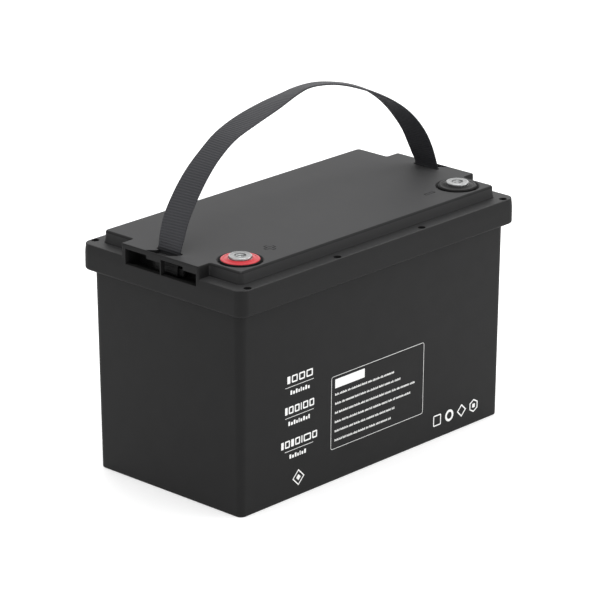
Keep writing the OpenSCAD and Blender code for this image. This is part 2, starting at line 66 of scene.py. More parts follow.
# ---------------------------------------------------------------- materials
class Nodes:
    """A material being built."""

    def __init__(self, name):
        self.mat = bpy.data.materials.new(name)
        self.mat.use_nodes = True
        self.tree = self.mat.node_tree
        self.bsdf = self.tree.nodes["Principled BSDF"]

    def add(self, kind, **props):
        node = self.tree.nodes.new(kind)
        for key, value in props.items():
            if key in node.inputs:
                node.inputs[key].default_value = value
            else:
                setattr(node, key, value)
        return node

    def link(self, a, b):
        self.tree.links.new(a, b)

    def coord(self, kind="Object"):
        return self.add("ShaderNodeTexCoord").outputs[kind]

    def noise(self, vector, scale, detail=3.0, rough=0.55):
        node = self.add("ShaderNodeTexNoise", Scale=scale, Detail=detail, Roughness=rough)
        self.link(vector, node.inputs["Vector"])
        return node.outputs["Fac"]

    def ramp(self, value, stops):
        node = self.add("ShaderNodeValToRGB")
        ends = node.color_ramp.elements
        while len(ends) < len(stops):
            ends.new(0.5)
        for end, (pos, color) in zip(ends, stops):
            end.position = pos
            end.color = (*color, 1.0)
        self.link(value, node.inputs["Fac"])
        return node.outputs["Color"]

    def remap(self, value, *ends):
        """value from one range to another; ends: both limits of each."""
        node = self.add("ShaderNodeMapRange")
        for key, end in zip(("From Min", "From Max", "To Min", "To Max"), ends):
            node.inputs[key].default_value = end
        self.link(value, node.inputs["Value"])
        return node.outputs["Result"]

    def spread(self, noise, low, high):
        return self.remap(noise, 0.25, 0.75, low, high)

    def math(self, op, a, b=None):
        node = self.add("ShaderNodeMath", operation=op)
        for k, v in enumerate((a, b)):
            if v is None:
                continue
            if isinstance(v, (int, float)):
                node.inputs[k].default_value = v
            else:
                self.link(v, node.inputs[k])
        return node.outputs[0]

    def bump(self, height, strength, distance):
        node = self.add("ShaderNodeBump", Strength=strength, Distance=distance)
        self.link(height, node.inputs["Height"])
        return node.outputs["Normal"]

    def cloud(self, at, scale, color, patch):
        """Colour that varies a little over the surface."""
        tones = [(0.3, shade(color, 1 - patch)), (0.7, shade(color, 1 + patch))]
        self.link(self.ramp(self.noise(at, scale, 4.0), tones), self.bsdf.inputs["Base Color"])

    def gloss(self, at, scale, rough, uneven):
        """Roughness that varies a little over the surface."""
        varied = self.spread(self.noise(at, scale, 3.0), rough - uneven, rough + uneven)
        self.link(varied, self.bsdf.inputs["Roughness"])


def shade(c, k):
    return tuple(min(1.0, x * k) for x in c)


def plastic(name, color, rough=0.5, grain=2600.0, spec=0.5, patch=0.1, uneven=0.05):
    """Moulded plastic: fine spark-eroded grain, faint cloudy colour, slightly uneven gloss."""
    n = Nodes(name)
    at = n.coord()
    n.cloud(at, 22.0, color, patch)
    fine = n.noise(at, grain, 2.0)
    n.gloss(at, 60.0, rough, uneven)
    n.link(n.bump(fine, 0.35, 0.00003), n.bsdf.inputs["Normal"])
    n.bsdf.inputs["Specular IOR Level"].default_value = spec
    return n.mat


def metal(name, color, rough=0.3, patch=0.06):
    """Plated or machined metal with fine scratches and slightly uneven tone."""
    n = Nodes(name)
    at = n.coord()
    n.cloud(at, 45.0, color, patch)
    n.gloss(at, 300.0, rough, 0.08)
    n.link(n.bump(n.noise(at, 900.0, 2.0), 0.25, 0.00002), n.bsdf.inputs["Normal"])
    n.bsdf.inputs["Metallic"].default_value = 1.0
    return n.mat


def turned_metal(name, color, centre, rough=0.3):
    """Faced metal disc: fine concentric tool marks round centre, painted highlights on bore and
    rim.
    """
    n = Nodes(name)
    at = n.coord()
    shift = n.add("ShaderNodeVectorMath", operation="SUBTRACT")
    shift.inputs[1].default_value = centre
    n.link(at, shift.inputs[0])
    split = n.add("ShaderNodeSeparateXYZ")
    n.link(shift.outputs[0], split.inputs[0])
    x2 = n.math("MULTIPLY", split.outputs[0], split.outputs[0])
    y2 = n.math("MULTIPLY", split.outputs[1], split.outputs[1])
    radius = n.math("SQRT", n.math("ADD", x2, y2))
    rings = n.math("SINE", n.math("MULTIPLY", radius, 2 * math.pi / TOOL_MARK_PITCH))
    n.link(n.bump(rings, 0.35, 0.000015), n.bsdf.inputs["Normal"])
    tone = n.ramp(n.noise(at, 160.0, 4.0), [(0.3, shade(color, 0.9)), (0.7, shade(color, 1.08))])
    # ramp positions are radii in centimetres; the bore and the rim get painted highlights, 3.2 and
    # 2.6 times the face's colour
    face, bore, rim = (1.0, 1.0, 1.0), (3.2, 3.2, 3.2), (2.6, 2.6, 2.6)
    painted_highlight = n.ramp(n.math("MULTIPLY", radius, 100.0),
                  [(0.36, bore), (0.41, face), (0.84, face), (0.90, rim)])
    both = n.add("ShaderNodeVectorMath", operation="MULTIPLY")
    n.link(tone, both.inputs[0])
    n.link(painted_highlight, both.inputs[1])
    n.link(both.outputs[0], n.bsdf.inputs["Base Color"])
    n.gloss(at, 420.0, rough, 0.03)
    n.bsdf.inputs["Metallic"].default_value = 1.0
    return n.mat


def foam_mat(name, color):
    """Closed-cell foam: small dark-edged cells."""
    n = Nodes(name)
    at = n.coord()
    cells = n.add("ShaderNodeTexVoronoi", Scale=900.0)
    n.link(at, cells.inputs["Vector"])
    n.link(n.ramp(cells.outputs["Distance"], [(0.1, shade(color, 1.4)), (0.7, shade(color, 0.6))]),
           n.bsdf.inputs["Base Color"])
    n.link(n.bump(cells.outputs["Distance"], 0.6, 0.0003), n.bsdf.inputs["Normal"])
    n.bsdf.inputs["Roughness"].default_value = 0.95
    return n.mat


def webbing_mat(name, light, dark):
    """Ribbed polypropylene webbing. UV: u across, v along the length, both in millimetres."""
    n = Nodes(name)
    split = n.add("ShaderNodeSeparateXYZ")
    n.link(n.coord("UV"), split.inputs[0])
    across, along = split.outputs[0], split.outputs[1]
    wave = n.math("COSINE", n.math("MULTIPLY", along, 2 * math.pi / RIB_PITCH))
    rib = n.math("ADD", n.math("MULTIPLY", wave, 0.5), 0.5)
    # warp yarns lean across the ribs
    lean = n.math("ADD", across, n.math("MULTIPLY", along, 0.35))
    yarn = n.math("ABSOLUTE", n.math("SINE", n.math("MULTIPLY", lean, math.pi / YARN_PITCH)))
    height = n.math("ADD", n.math("MULTIPLY", rib, 0.35), n.math("MULTIPLY", yarn, 0.65))
    fuzz = n.noise(n.coord("UV"), 9.0, 4.0)
    tone = n.math("ADD", n.math("MULTIPLY", height, 0.7), n.math("MULTIPLY", fuzz, 0.3))
    # the part inside the lid is out of the light
    place = n.add("ShaderNodeSeparateXYZ")
    n.link(n.coord(), place.inputs[0])
    lit = n.remap(place.outputs[2], WEB_DARK_Z, WEB_LIT_Z, 0.03, 1.0)
    shadowed = n.add("ShaderNodeVectorMath", operation="SCALE")
    n.link(n.ramp(tone, [(0.2, dark), (0.8, light)]), shadowed.inputs[0])
    n.link(lit, shadowed.inputs["Scale"])
    n.link(shadowed.outputs[0], n.bsdf.inputs["Base Color"])
    n.link(n.bump(height, 0.7, 0.00022), n.bsdf.inputs["Normal"])
    n.link(n.spread(fuzz, 0.55, 0.75), n.bsdf.inputs["Roughness"])
    n.bsdf.inputs["Specular IOR Level"].default_value = 0.3
    return n.mat


def ink_mat(name):
    """Screen-printed white ink: slightly uneven cover."""
    n = Nodes(name)
    at = n.coord()
    n.link(n.ramp(n.noise(at, 700.0, 4.0), [(0.3, (0.72, 0.72, 0.71)), (0.6, (0.86, 0.86, 0.85))]),
           n.bsdf.inputs["Base Color"])
    n.link(n.bump(n.noise(at, 2500.0, 2.0), 0.3, 0.00002), n.bsdf.inputs["Normal"])
    n.bsdf.inputs["Roughness"].default_value = 0.55
    return n.mat


# ---------------------------------------------------------------- mesh helpers
def make(name, verts, faces, mat, body="pack", smooth=32.0, uvs=None):
    """A mesh object; body None leaves it without a ride, for cutters and unfinished pieces."""
    mesh = bpy.data.meshes.new(name)
    mesh.from_pydata(verts, [], faces)
    mesh.validate()
    if uvs is not None:
        layer = mesh.uv_layers.new(name="UVMap")
        for loop in mesh.loops:
            layer.data[loop.index].uv = uvs[loop.vertex_index]
    obj = bpy.data.objects.new(name, mesh)
    scene.collection.objects.link(obj)
    finish_mesh(obj, mat, smooth)
    if body:
        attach(obj, body)
    return obj


def finish_mesh(obj, mat, smooth=32.0):
    """Normals outwards, edges flatter than smooth degrees shaded smooth, one material."""
    mesh = obj.data
    bm = bmesh.new()
    bm.from_mesh(mesh)
    bmesh.ops.recalc_face_normals(bm, faces=bm.faces)
    for face in bm.faces:
        face.smooth = True
    for edge in bm.edges:
        if len(edge.link_faces) == 2:
            edge.smooth = edge.calc_face_angle(0.0) < math.radians(smooth)
    bm.to_mesh(mesh)
    bm.free()
    mesh.materials.clear()
    mesh.materials.append(mat)


def loft(rings):
    """Vertices and faces through closed rings of equal count, capped at both ends."""
    verts = [p for ring in rings for p in ring]
    n = len(rings[0])
    faces = []
    for i in range(len(rings) - 1):
        for k in range(n):
            a, b = i * n + k, i * n + (k + 1) % n
            faces.append((a, b, b + n, a + n))
    faces.append(tuple(reversed(range(n))))
    faces.append(tuple(range((len(rings) - 1) * n, len(rings) * n)))
    return verts, faces


def rounded_ring(half_l, half_w, r, z, steps=8):
    """Rounded rectangle in millimetres at height z, as points in metres, anticlockwise."""
    pts = []
    for cx, cy, start in ((1, -1, -90), (1, 1, 0), (-1, 1, 90), (-1, -1, 180)):
        for k in range(steps + 1):
            a = math.radians(start + 90 * k / steps)
            x = cx * (half_l - r) + r * math.cos(a)
            y = cy * (half_w - r) + r * math.sin(a)
            pts.append((x * MM, y * MM, z * MM))
    return pts


def outline_ring(corners, inset, z, steps=6):
    """Ring of an outline whose edges run along X and Y. corners: (x, y, radius, bulge) with
    bulge +1 for an outside corner, -1 for an inside one; inset(i) says how far the edge that
    leaves corner i moves inwards."""
    n = len(corners)
    moved = []
    for i, (x, y, _, _) in enumerate(corners):
        before = corners[i - 1][:2]
        after = corners[(i + 1) % n][:2]
        for (ax, ay), (bx, by), d in ((before, (x, y), inset(i - 1)), ((x, y), after, inset(i))):
            ux, uy = bx - ax, by - ay
            length = math.hypot(ux, uy)
            if abs(ux) > abs(uy):
                moved.append(("y", y + d * ux / length))
            else:
                moved.append(("x", x - d * uy / length))
    pts = []
    for i, (x, y, r, bulge) in enumerate(corners):
        got = dict(moved[2 * i:2 * i + 2])
        cx, cy = got.get("x", x), got.get("y", y)
        px, py = corners[i - 1][:2]
        nx, ny = corners[(i + 1) % n][:2]
        d_in = Vector((x - px, y - py)).normalized()
        d_out = Vector((nx - x, ny - y)).normalized()
        d = 0.5 * (inset(i - 1) + inset(i))
        rad = max(0.15, r - d * bulge)
        start = Vector((cx, cy)) - d_in * rad
        centre = start + (d_out * rad)
        for k in range(steps + 1):
            a = math.radians(90 * k / steps)
            p = centre - d_out * rad * math.cos(a) + d_in * rad * math.sin(a)
            pts.append((p.x * MM, p.y * MM, z * MM))
    return pts


def lathe(profile, cx, cy, name, mat, body="pack", steps=64, smooth=32.0):
    """Solid turned about a vertical axis. profile: closed loop of (radius, z) in millimetres."""
    verts, faces = [], []
    n = len(profile)
    for k in range(steps):
        a = 2 * math.pi * k / steps
        for r, z in profile:
            verts.append(((cx + r * math.cos(a)) * MM, (cy + r * math.sin(a)) * MM, z * MM))
    for k in range(steps):
        for i in range(n):
            a, b = k * n + i, k * n + (i + 1) % n
            c, d = ((k + 1) % steps) * n + (i + 1) % n, ((k + 1) % steps) * n + i
            faces.append((a, b, c, d))
    obj = make(name, verts, faces, mat, None, smooth)
    bm = bmesh.new()
    bm.from_mesh(obj.data)
    bmesh.ops.remove_doubles(bm, verts=bm.verts, dist=1e-7)
    bmesh.ops.dissolve_degenerate(bm, edges=bm.edges, dist=1e-8)
    loose = [edge for edge in bm.edges if not edge.link_faces]
    bmesh.ops.delete(bm, geom=loose, context="EDGES")
    bm.to_mesh(obj.data)
    bm.free()
    finish_mesh(obj, mat, smooth)
    if body:
        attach(obj, body)
    return obj


def cut(target, cutters, op="DIFFERENCE"):
    """Boolean target with each cutter, applied, and the cutters removed."""
    for cutter in cutters:
        mod = target.modifiers.new("cut", "BOOLEAN")
        mod.operation = op
        mod.solver = "EXACT"
        mod.object = cutter
        dg = bpy.context.evaluated_depsgraph_get()
        mesh = bpy.data.meshes.new_from_object(target.evaluated_get(dg))
        target.modifiers.clear()
        old = target.data
        target.data = mesh
        bpy.data.meshes.remove(old)
        bpy.data.objects.remove(cutter)


def joined(name, objs, mat, body="pack"):
    """One object from several, riding on body unless that is None."""
    bm = bmesh.new()
    for o in objs:
        start = len(bm.verts)
        bm.from_mesh(o.data)
        bm.verts.ensure_lookup_table()
        for v in bm.verts[start:]:
            v.co = o.matrix_world @ v.co
    mesh = bpy.data.meshes.new(name)
    bm.to_mesh(mesh)
    bm.free()
    for o in objs:
        bpy.data.objects.remove(o)
    obj = bpy.data.objects.new(name, mesh)
    scene.collection.objects.link(obj)
    finish_mesh(obj, mat)
    if body:
        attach(obj, body)
    return obj


def arc(cx, cz, r, a0, a1, steps):
    """Points of an arc in a profile, angles in degrees."""
    return [(cx + r * math.cos(math.radians(a0 + (a1 - a0) * k / steps)),
             cz + r * math.sin(math.radians(a0 + (a1 - a0) * k / steps))) for k in range(steps + 1)]


# ---------------------------------------------------------------- sizes, in millimetres
def span(node):
    """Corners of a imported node's box."""
    low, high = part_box(node)
    return [x * 1000 for x in low], [x * 1000 for x in high]


case_hi = span("case_shell")[1]
lid_lo, lid_hi = span("lid")
disc_lo, disc_hi = span("negative_insert")
collar_lo, collar_hi = span("negative_collar")
loop_lo, loop_hi = span("strap_loops")

# case: half length and width at the base, spread by DRAFT up to the rim
RIM_Z = case_hi[2]
BASE_L, BASE_W = 156.9, 80.4
DRAFT = case_hi[0] - BASE_L
WALL = 2.5
CORNER_R = 5.5
FOOT_FILLET = 1.3
# lid: band, raised deck (half sizes) and end tabs
BAND_L, BAND_W = lid_hi[0], lid_hi[1]
BAND_Z0, BAND_Z1, DECK_Z = lid_lo[2], 193.9, lid_hi[2]
BAND_CORNER_R = 9
DECK_L, DECK_W, TAB = 151.7, 76.5, 43.0
SKIRT = 4.5
SKIRT_TOP_Z = 180.9
DECK_FILLET = 1.8
# end pockets and their windows
POCKET_Z0, WINDOW_Z0, WINDOW_STEP_Z, POCKET_Z1 = 184.0, 187.6, 197.4, 200.2
RELIEF_Z = 201.2
# lid screws
SCREW_XS = (-153.0, -50.5, 50.5, 153.0)
SCREW_Y = 85.0
SCREW_SEAT_Z = 189.7
SCREW_SPOTS = [(x, y) for x in SCREW_XS for y in (-SCREW_Y, SCREW_Y)]
# terminals, collars and strap
TERM_X = (disc_lo[0] + disc_hi[0]) / 2
TERM_Y = (disc_lo[1] + disc_hi[1]) / 2
DISC_R = (disc_hi[0] - disc_lo[0]) / 2
DISC_Z = disc_hi[2]
COLLAR_R = (collar_hi[0] - collar_lo[0]) / 2
COLLAR_Z = collar_hi[2]
RECESS_Z, RECESS_R = collar_lo[2], 18.3
STRAP_X = (loop_hi[0] - loop_lo[0]) / 2 - 4.2
WEB_HALF = span("strap_arch")[1][1]

BLACK = (0.0108, 0.0108, 0.0110)
shell_mat = plastic("shell_plastic", BLACK, rough=0.6, spec=0.15, patch=0.04, uneven=0.02)
lid_mat = plastic("lid_plastic", BLACK, rough=0.6, spec=0.15, patch=0.03, uneven=0.015)
cavity_mat = plastic("unlit_plastic", (0.011, 0.011, 0.011), rough=0.7, spec=0.12, patch=0.04)
edge_mat = plastic("polished_edge", BLACK, rough=0.42, spec=0.27, patch=0.04, uneven=0.03)
# painted light: the deck top gets the lid's black made 4.6 times lighter and less glossy, for the
# light that falls on it from above
deck_painted_light_mat = plastic("deck_top_painted_light", shade(BLACK, 4.6), rough=0.62, spec=0.06, patch=0.02,
                   uneven=0.01)
# painted light: the deck walls and the ledge round the deck get the lid's black made 2.1 times
# lighter
wall_painted_light_mat = plastic("deck_wall_painted_light", shade(BLACK, 2.1), rough=0.6, spec=0.2, patch=0.03,
                   uneven=0.015)
red_mat = plastic("red_collar_plastic", (0.45, 0.013, 0.022), rough=0.42, grain=1800, spec=0.3,
                  patch=0.05)
collar_black_mat = plastic("black_collar_plastic", (0.01, 0.01, 0.01), rough=0.5, grain=1800,
                           spec=0.14, patch=0.05)
screw_mat = metal("black_screw", (0.02, 0.02, 0.021), rough=0.42)
ink = ink_mat("white_ink")
web_mat = webbing_mat("webbing", (0.041, 0.0415, 0.047), (0.0095, 0.0098, 0.0113))

# ---------------------------------------------------------------- case
def build_case():
    """Drafted shell open at the top, with a recessed underside and eight screw ears."""
    def at(z, inset=0.0, wall=0.0):
        d = DRAFT * z / RIM_Z - inset - wall
        return rounded_ring(BASE_L + d, BASE_W + d, max(1.2, CORNER_R + d), z)

    # recessed underside, standing rim, rounded lower edge
    rings = [rounded_ring(BASE_L - 12, BASE_W - 12, 3, 0.9),
             rounded_ring(BASE_L - 8.5, BASE_W - 8.5, 3.5, 0.9),
             rounded_ring(BASE_L - 7.6, BASE_W - 7.6, 4.0, 0.0)]
    for k in range(7):
        a = math.radians(90 * k / 6)
        rings.append(at(FOOT_FILLET * (1 - math.cos(a)), FOOT_FILLET * (1 - math.sin(a))))
    for z in (20, 60, 100, 140, 165, RIM_Z - 0.5):
        rings.append(at(z))
    rings.append(at(RIM_Z, 0.5))
    rings.append(at(RIM_Z, 0, WALL - 0.4))
    rings.append(at(RIM_Z - 0.4, 0, WALL))
    for z in (120, 60, 6):
        rings.append(at(z, 0, WALL))
    rings.append(at(4.0, 0, WALL + 2))
    verts, faces = loft(rings)
    obj = make("case_body", verts, faces, shell_mat, None)
    # ears that the lid screws bite into, hidden inside the skirt
    ear = [(0, 173.2), (3.1, 173.2), (3.5, 173.6), (3.5, RIM_Z - 0.3), (3.2, RIM_Z), (0, RIM_Z)]
    cut(obj, [lathe(ear, x, y - math.copysign(0.5, y), "ear", shell_mat, None, 40)
              for x, y in SCREW_SPOTS], "UNION")
    cut(obj, [round_cutter(x, y, 1.5, 174.5, RIM_Z, 0.15, 1.0, 24) for x, y in SCREW_SPOTS])
    finish_mesh(obj, shell_mat, 30)
    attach(obj, "pack")
    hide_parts("case_shell")


# ---------------------------------------------------------------- lid
def prism(name, plan, z0, z1):
    """Upright prism over a plan of (x, y) points, as a cutter."""
    verts, faces = loft([[(x * MM, y * MM, z * MM) for x, y in plan] for z in (z0, z1)])
    return make(name, verts, faces, lid_mat, None)


def flat_box(name, x0, x1, y0, y1, z0, z1):
    return prism(name, ((x0, y0), (x1, y0), (x1, y1), (x0, y1)), z0, z1)


def mouth_cutter(name, x0, x1, y0, y1, z0, z1, r, flare, out):
    """Upright cutter whose mouth opens by flare at z1; out is how far it runs past that."""
    cx, cy, hl, hw = (x0 + x1) / 2, (y0 + y1) / 2, (x1 - x0) / 2, (y1 - y0) / 2
    rings = [(0.0, z0)]
    for k in range(5):
        a = math.radians(90 * k / 4)
        rings.append((flare * (1 - math.cos(a)), z1 - flare * (1 - math.sin(a))))
    rings.append((flare, z1 + out))
    made = []
    for grow, height in rings:
        ring = rounded_ring(hl + grow, hw + grow, r + grow, height, 4)
        made.append([(x + cx * MM, y + cy * MM, z) for x, y, z in ring])
    verts, faces = loft(made)
    return make(name, verts, faces, lid_mat, None)


def round_cutter(cx, cy, r, z0, z1, flare, out=3.0, steps=64):
    """The same for a round hole."""
    profile = [(0, z0), (r, z0)]
    for k in range(6):
        a = math.radians(90 * k / 5)
        profile.append((r + flare * (1 - math.cos(a)), z1 - flare * (1 - math.sin(a))))
    profile += [(r + flare, z1 + out), (0, z1 + out)]
    return lathe(profile, cx, cy, "cutter", lid_mat, None, steps)


def window_cutter(side, outline, x0=160.2):
    """Pocket window in an end tab, with a softened mouth. outline: (y, z) for the -X end, turned
    about for the other."""
    face = BAND_L
    mid_y = sum(y for y, _ in outline) / len(outline)
    mid_z = sum(z for _, z in outline) / len(outline)
    rings = []
    for grow, x in ((0.0, x0), (0.0, face - 0.5), (0.12, face - 0.2), (0.5, face + 0.02),
                    (0.5, face + 2)):
        rings.append([(side * x * MM,
                       -side * (y + math.copysign(grow, y - mid_y)) * MM,
                       (z + math.copysign(grow, z - mid_z)) * MM) for y, z in outline])
    verts, faces = loft(rings)
    return make("cutter", verts, faces, lid_mat, None)


def relief_cutter(side):
    """Relief between the strap and the outer lip, which runs out along the lip at one end."""
    plan = [(151.6, 9.5), (151.6, -12.5), (157.0, -12.5), (164.1, -6.0), (164.1, 16.5),
            (158.2, 9.5)]
    return prism("cutter", [(side * x, -side * y) for x, y in plan], RELIEF_Z, DECK_Z + 1)


def both_ends(half):
    """An outline's points at the +X end, then the same turned about for the -X end."""
    return half + [(-x, -y, *rest) for x, y, *rest in half]


TAB_L = BAND_L - 0.15
# x, y, corner radius, +1 outside or -1 inside corner; anticlockwise
DECK_EDGE = both_ends([
    (DECK_L, -DECK_W, 4.0, 1), (DECK_L, -TAB, 1.6, -1), (TAB_L, -TAB, 1.8, 1),
    (TAB_L, TAB, 1.8, 1), (DECK_L, TAB, 1.6, -1), (DECK_L, DECK_W, 4.0, 1),
])
# share of the deck's edge rounding that goes to the edge leaving each of those points
SOFT_EDGES = [1.0, 0.45, 0.35, 0.45, 1.0, 1.0]
TAB_END = 2


def build_band():
    """Band: hollow skirt below, softened lower edge, sides that lean in towards the top."""
    def ring(d, z):
        return rounded_ring(BAND_L - d, BAND_W - d, BAND_CORNER_R - d, z)

    inner_l, inner_w = BAND_L - SKIRT, BAND_W - SKIRT
    rings = [rounded_ring(inner_l, inner_w, 4.6, SKIRT_TOP_Z),
             rounded_ring(inner_l, inner_w, 4.6, BAND_Z0 + 0.4),
             rounded_ring(inner_l + 0.4, inner_w + 0.4, 5.0, BAND_Z0)]
    low, top = 2.2, 1.0
    for k in range(7):
        a = math.radians(90 * k / 6)
        rings.append(ring(low * (1 - math.sin(a)), BAND_Z0 + low * (1 - math.cos(a))))
    for depth, d in ((10.0, 0.0), (8.0, 0.05), (6.0, 0.15), (4.5, 0.3), (3.0, 0.5)):
        rings.append(ring(d, BAND_Z1 - depth))
    for k in range(1, 7):
        a = math.radians(15 + 75 * k / 6)
        rings.append(ring(0.62 + top * (1 - math.cos(a)), BAND_Z1 - top * (1 - math.sin(a))))
    verts, faces = loft(rings)
    return make("lid_body", verts, faces, lid_mat, None)


def build_deck():
    """Raised deck with end tabs: rounded top edge, walls that spread into a small cove."""
    def ring(z, d):
        def inset(i):
            # the end of a tab stands flush with the band and has no cove
            edge = i % len(SOFT_EDGES)
            return (max(d, 0.0) if edge == TAB_END else d) * SOFT_EDGES[edge]

        return outline_ring(DECK_EDGE, inset, z)

    made = []
    for z, d in ((186.0, -1.3), (BAND_Z1 + 0.05, -1.3), (BAND_Z1 + 0.3, -1.0),
                 (BAND_Z1 + 0.8, -0.75), (BAND_Z1 + 2.0, -0.55), (DECK_Z - 5, -0.1)):
        made.append(ring(z, d))
    for k in range(9):
        a = math.radians(90 * k / 8)
        made.append(ring(DECK_Z - DECK_FILLET * (1 - math.sin(a)), DECK_FILLET * (1 - math.cos(a))))
    verts, faces = loft(made)
    return make("deck", verts, faces, lid_mat, None)


def room_cutter():
    """Hollow under the deck, with end blocks and terminal bosses left standing."""
    length, width, block = 148.5, 73.5, 144.0
    half = [(length, -width), (length, -TAB), (block, -TAB), (block, TAB), (length, TAB),
            (length, width)]
    room = prism("room", both_ends(half), SKIRT_TOP_Z - 0.9, DECK_Z - 3.0)
    boss = [(0, 197.2), (20, 197.2), (20, 210), (0, 210)]
    cut(room, [lathe(boss, s * TERM_X, TERM_Y, "boss", lid_mat, None) for s in (-1, 1)])
    return room


def end_cutters(s):
    """Pocket, windows, strap slot and terminal recess of one end, s the sign of its x."""
    near, far = sorted((s * 147, s * 160.6))
    out = [flat_box("cutter", near, far, -40, 40, POCKET_Z0, POCKET_Z1)]
    for y0, y1, y2 in ((-0.4, 14.6, 38.2), (-40.4, -25.8, -1.6)):
        out.append(window_cutter(s, [(y0, WINDOW_Z0), (y2, WINDOW_Z0), (y2, POCKET_Z1),
                                     (y1, POCKET_Z1), (y1, WINDOW_STEP_Z), (y0, WINDOW_STEP_Z)]))
    out.append(relief_cutter(s))
    slot_x = s * STRAP_X
    out.append(mouth_cutter("cutter", slot_x - 1.9, slot_x + 1.9, -13.4, 13.4, 199.0, DECK_Z,
                            1.5, 0.6, 2))
    cone = [(0, RECESS_Z), (COLLAR_R + 0.35, RECESS_Z), (RECESS_R - 0.3, DECK_Z - 0.6),
            (RECESS_R, DECK_Z - 0.3), (RECESS_R + 0.5, DECK_Z), (RECESS_R + 0.5, DECK_Z + 2),
            (0, DECK_Z + 2)]
    out.append(lathe(cone, s * TERM_X, TERM_Y, "cutter", lid_mat, None, 96))
    out.append(round_cutter(s * TERM_X, TERM_Y, 6.2, 190.0, RECESS_Z + 1, 0.0))
    return out


def tag_lid_faces(lid):
    """Give the faces of pockets, rounded edges, walls and deck their own materials; the deck walls,
    the ledge and the deck top get painted light.
    """
    mats = {"cavity": cavity_mat, "edge": edge_mat, "wall": wall_painted_light_mat, "deck": deck_painted_light_mat}
    slot = {}
    for key, mat in mats.items():
        lid.data.materials.append(mat)
        slot[key] = len(lid.data.materials) - 1
    for face in lid.data.polygons:
        x, y, z = (abs(c) / MM for c in face.center)
        tilt = face.normal.z
        pocket = 146 < x < 164.6 and y < 40.6 and POCKET_Z0 - 0.1 < z < POCKET_Z1 + 0.2
        mark = 85 < x < 107 and 44 < y < 60 and DECK_Z - 0.6 < z < DECK_Z - 0.01
        band_top = BAND_Z1 - 1.2 < z < BAND_Z1 - 0.005 and 0.2 < tilt < 0.98 and (x > 163 or y > 88)
        deck_corner = (z > DECK_Z - DECK_FILLET and 0.2 < tilt < 0.97
                       and x > DECK_L - 2.5 and y > DECK_W - 2.5)
        outer_wall = abs(tilt) < 0.4 and x < 156 and (x > 150 or y > 74) and y > TAB
        deck_wall = outer_wall and BAND_Z1 + 0.9 < z < DECK_Z - 1.7
        ledge = tilt > 0.98 and BAND_Z1 - 0.1 < z < DECK_Z - 1
        if pocket or mark:
            face.material_index = slot["cavity"]
        if band_top or deck_corner:
            face.material_index = slot["edge"]
        # painted light on the deck walls and the ledge
        elif deck_wall or ledge:
            face.material_index = slot["wall"]
        # painted light on the deck top
        elif tilt > 0.98 and z > DECK_Z - 0.1:
            face.material_index = slot["deck"]


def build_lid():
    lid = build_band()
    cut(lid, [build_deck()], "UNION")
    cut(lid, [room_cutter()])
    cut(lid, end_cutters(-1) + end_cutters(1))
    hole = [(0, 178.0), (1.9, 178.0), (1.9, SCREW_SEAT_Z), (3.1, SCREW_SEAT_Z),
            (3.1, BAND_Z1 - 0.35), (3.2, BAND_Z1 - 0.12), (3.55, BAND_Z1 + 0.1),
            (3.55, BAND_Z1 + 3), (0, BAND_Z1 + 3)]
    holes = [lathe(hole, x, y, "cutter", lid_mat, None, 40) for x, y in SCREW_SPOTS]
    cut(lid, [joined("cutter", holes, lid_mat, None)])
    cut(lid, polarity_cutters())
    finish_mesh(lid, lid_mat, 30)
    tag_lid_faces(lid)
    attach(lid, "pack")
    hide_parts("lid")
    mod = lid.modifiers.new("even_normals", "WEIGHTED_NORMAL")
    mod.keep_sharp = True


def polarity_cutters():
    """Sunk outlines beside the terminals: a cross at the positive end, a bar at the other."""
    out = []
    z0 = DECK_Z - 0.5

    def slot_box(x0, x1, y0, y1):
        out.append(flat_box("cutter", *sorted((x0, x1)), *sorted((y0, y1)), z0, DECK_Z + 1))

    # line width, half length and half width of an arm
    w, a, b = 0.6, 5.6, 1.7
    cx, cy = -92.8, -51.4
    for sx in (-1, 1):
        for sy in (-1, 1):
            # inner corner of each quarter of the cross
            slot_box(cx + sx * (b - w), cx + sx * a, cy + sy * (b - w), cy + sy * b)
            slot_box(cx + sx * (b - w), cx + sx * b, cy + sy * b, cy + sy * a)
    for s in (-1, 1):
        slot_box(cx + s * (a - w), cx + s * a, cy - b + w, cy + b - w)
        slot_box(cx - b + w, cx + b - w, cy + s * (a - w), cy + s * a)
    cx = 98.5
    for s in (-1, 1):
        slot_box(cx - a, cx + a, cy + s * (b - w), cy + s * b)
        slot_box(cx + s * (a - w), cx + s * a, cy - b + w, cy + b - w)
    return out


build_case()
build_lid()

# ---------------------------------------------------------------- terminals
TERMINAL_Z0 = 186.0
THREAD_PITCH, THREAD_R, BORE_R = 1.25, 4.0, 3.4
TERMINAL_GREY = (0.15, 0.153, 0.153)


